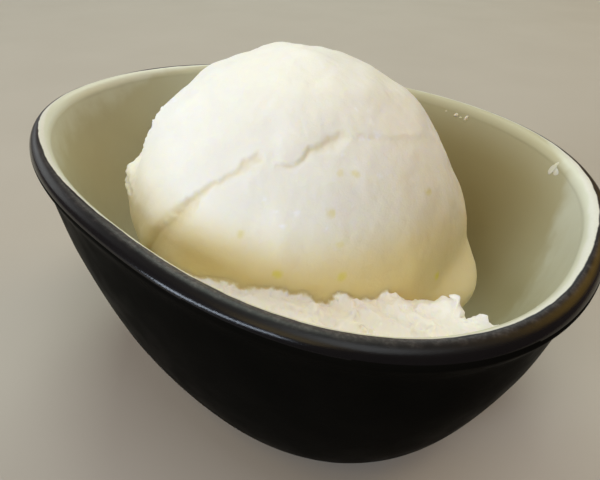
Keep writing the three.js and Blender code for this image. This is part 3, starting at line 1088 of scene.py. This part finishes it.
def lip_glaze():
    """Worn thin towards the inner glaze, where the clay shows brownish through it; the lighter
    brownish band there is partly a painted sheen.
    """
    n = Nodes("worn_sheen_black_glaze")
    thin = n.math("ADD", n.attribute("way"), n.span(n.noise(1.6, 4), 0.25, 0.75, -0.3, 0.3))
    black = n.mix(n.noise(9, 4), (0.004, 0.004, 0.004), (0.008, 0.007, 0.007))
    # brownish wear, partly a painted sheen of the lit lip
    worn_and_sheen = n.mix(n.span(n.noise(0.45, 3), 0.4, 0.7), (0.045, 0.036, 0.033), (0.10, 0.088, 0.08))
    n.link(n.mix(n.span(thin, -0.7, 0.9), black, worn_and_sheen), n.shader.inputs["Base Color"])
    n.link(n.span(n.attribute("way"), -1.9, -0.9, 0.17, 0.36), n.shader.inputs["Roughness"])
    n.shader.inputs["IOR"].default_value = 1.32
    grain = n.bump(n.noise(0.3, 3), 0.03, 0.4)
    n.link(n.bump(n.noise(4, 3), 0.04, 0.3, grain), n.shader.inputs["Normal"])
    return n.material


def celadon_glaze():
    """From its edge inwards: a dark line, a pale edge, light sage and sage; painted shade beside
    the scoop.
    """
    n = Nodes("celadon_glaze")
    dark = (0.02, 0.015, 0.014)
    pale = n.mix(n.noise(0.5, 3), (0.72, 0.71, 0.62), (0.80, 0.79, 0.70))
    # light sage: partly the glaze's own tone, partly painted light where the wall is lit
    light_sage = n.mix(n.noise(7, 4), (0.66, 0.66, 0.52), (0.74, 0.75, 0.61))
    sage = n.mix(n.noise(14, 4), (0.52, 0.485, 0.31), (0.61, 0.59, 0.41))
    # painted shade beside the scoop
    shaded_sage = (0.40, 0.345, 0.18)
    way = n.math("ADD", n.attribute("inward"), n.span(n.noise(5, 3), 0.2, 0.8, -0.15, 0.15))
    uneven = n.span(n.noise(4, 3), 0.2, 0.8, -0.15, 0.15)
    past_light = n.span(n.math("ADD", n.attribute("light"), uneven), 0.25, 1.0)
    past_pale = n.span(n.math("ADD", n.attribute("pale"), uneven), 0.7, 1.15)
    glaze = n.mix(n.attribute("scoop_shade"), sage, shaded_sage)
    glaze = n.mix(past_light, light_sage, glaze)
    glaze = n.mix(past_pale, pale, glaze)
    n.link(n.mix(n.span(way, 0.0, 0.2), dark, glaze), n.shader.inputs["Base Color"])
    n.link(n.span(n.noise(3, 3), 0.3, 0.7, 0.3, 0.4), n.shader.inputs["Roughness"])
    n.shader.inputs["IOR"].default_value = 1.3
    n.link(n.bump(n.noise(4, 3), 0.03, 0.3), n.shader.inputs["Normal"])
    return n.material


def sorbet_material(name, depth):
    """Depth is how far light gets into it, in mm."""
    n = Nodes(name)
    ivory = n.mix(n.noise(6, 4), (0.90, 0.88, 0.78), (0.94, 0.93, 0.86))
    # painted warm shade: darker and yellower on the lower front
    warm_shade = n.mix(n.noise(8, 3), (0.72, 0.59, 0.27), (0.77, 0.65, 0.34))
    body = n.mix(n.attribute("warm_shade"), ivory, warm_shade)
    # painted shade in the cracks' grooves, darker and tan, strongest in the deepest
    body = n.mix(n.math("MULTIPLY", n.attribute("crack"), 0.55), body, (0.84, 0.72, 0.42))
    body = n.mix(n.attribute("collar"), body, (0.97, 0.95, 0.88))
    body = n.mix(n.attribute("zest"), body, (0.74, 0.66, 0.12))
    # painted glints of ice
    body = n.mix(n.attribute("painted_glint"), body, (0.97, 0.97, 0.95))
    n.link(body, n.shader.inputs["Base Color"])
    n.shader.inputs["Subsurface Weight"].default_value = 0.7
    n.shader.inputs["Subsurface Radius"].default_value = (1.0, 0.85, 0.45)
    n.shader.inputs["Subsurface Scale"].default_value = depth * MM
    n.link(n.span(n.noise(1.2, 3), 0.3, 0.7, 0.42, 0.62), n.shader.inputs["Roughness"])
    n.shader.inputs["IOR"].default_value = 1.33
    grain = n.bump(n.noise(0.35, 3), 0.05, 0.6)
    n.link(n.bump(n.noise(1.1, 3), 0.09, 0.6, grain), n.shader.inputs["Normal"])
    return n.material


def floor_material():
    n = Nodes("pale_floor")
    beige = n.mix(n.noise(60, 3), (0.46, 0.42, 0.36), (0.51, 0.47, 0.41))
    n.link(beige, n.shader.inputs["Base Color"])
    n.shader.inputs["Roughness"].default_value = 0.8
    n.shader.inputs["IOR"].default_value = 1.25
    return n.material


# -------------------------------- floor and light

FLOOR_HALF_SIZE = 5.0  # metres
LIGHT_DISTANCE = 1.2  # metres
LIGHT_TARGET = Vector((0, 0, 0.04))
# Soft lights: azimuth and elevation in degrees, width and height in metres, roll in degrees,
# power in watts and colour.
LIGHTS = {
    "window": (-109, 18, 1.2, 0.16, 38, 8.8, (0.86, 0.98, 1.15)),
    "back_high": (130, 48, 0.6, 0.6, 0, 4.9, (0.85, 0.98, 0.87)),
    "ceiling": (0, 80, 0.6, 0.6, 0, 4.4, (0.92, 0.98, 1.02)),
    "front_high": (-90, 58, 0.6, 0.6, 0, 2.0, (1.3, 1.0, 0.5)),
    "left_low": (180, 20, 0.6, 0.34, 0, 1.4, (0.96, 1.0, 1.0)),
    "right_back": (60, 30, 0.6, 0.5, 0, 1.2, (1.7, 1.0, 0.1)),
    "back_low": (110, 18, 0.85, 0.34, 0, 1.0, (0.7, 1.0, 1.1)),
}
WORLD_COLOUR = (1.3, 0.95, 1.0, 1)
WORLD_STRENGTH = 0.09


def make_floor():
    half = FLOOR_HALF_SIZE
    mesh = bpy.data.meshes.new("floor")
    corners = [(-half, -half, 0), (half, -half, 0), (half, half, 0), (-half, half, 0)]
    mesh.from_pydata(corners, [], [(0, 1, 2, 3)])
    mesh.materials.append(floor_material())
    floor = bpy.data.objects.new("floor", mesh)
    bpy.context.scene.collection.objects.link(floor)


def area_light(name, azimuth, elevation, width, height, roll, power, colour):
    """A soft light that looks at the bowl's middle."""
    data = bpy.data.lights.new(name, "AREA")
    data.shape = "RECTANGLE"
    data.size = width
    data.size_y = height
    data.energy = power
    data.color = colour
    light = bpy.data.objects.new(name, data)
    heading = Vector(direction(azimuth, elevation).tolist())
    look = heading.to_track_quat("Z", "Y").to_matrix()
    look = look @ Matrix.Rotation(math.radians(roll), 3, "Z")
    place = Matrix.Translation(LIGHT_TARGET + heading * LIGHT_DISTANCE)
    light.matrix_world = place @ look.to_4x4()
    bpy.context.scene.collection.objects.link(light)


def make_light():
    for name, settings in LIGHTS.items():
        area_light(name, *settings)
    world = bpy.data.worlds.new("world")
    world.use_nodes = True
    background = world.node_tree.nodes["Background"]
    background.inputs["Color"].default_value = WORLD_COLOUR
    background.inputs["Strength"].default_value = WORLD_STRENGTH
    bpy.context.scene.world = world
    bpy.context.scene.view_settings.view_transform = "Standard"


make_bowl([black_glaze(), lip_glaze(), celadon_glaze()])
make_sorbet(sorbet_material("citrus_sorbet", SORBET_DEPTH))
make_crumbs(sorbet_material("sorbet_crumb", CRUMB_DEPTH))
make_floor()
make_light()
